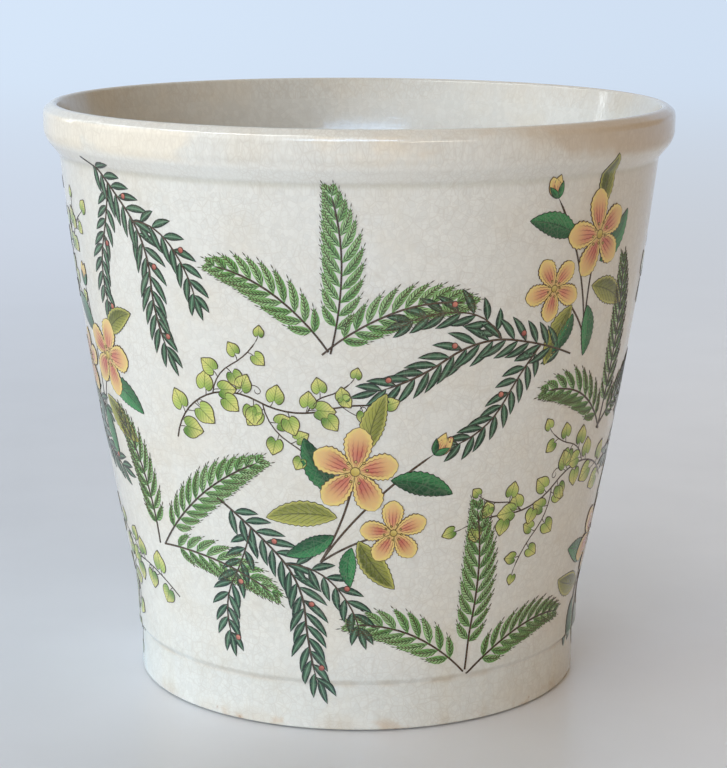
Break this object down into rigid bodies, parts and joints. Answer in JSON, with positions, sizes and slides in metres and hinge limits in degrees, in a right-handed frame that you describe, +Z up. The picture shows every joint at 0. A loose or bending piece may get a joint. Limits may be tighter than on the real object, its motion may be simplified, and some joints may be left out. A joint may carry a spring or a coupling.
{
  "type": "planter",
  "caption": "Round glazed ceramic planter with a rolled rim, a tapering wall and a stepped foot, standing on felt dots.",
  "frame": {"origin": "on the table, under the middle of the pot", "axes": "+Z up the pot's axis, out of its mouth; the pot is round, so X and Y have no meaning of their own"},
  "size_m": [0.28, 0.28, 0.26],
  "materials": {
    "crackle_glaze": "glossy cream crackle glaze",
    "felt": "matt grey felt"
  },
  "bodies": {
    "root": {"pot": "crackle_glaze", "felt_dot_1": "felt", "felt_dot_2": "felt", "felt_dot_3": "felt", "felt_dot_4": "felt"}
  },
  "joints": []
}
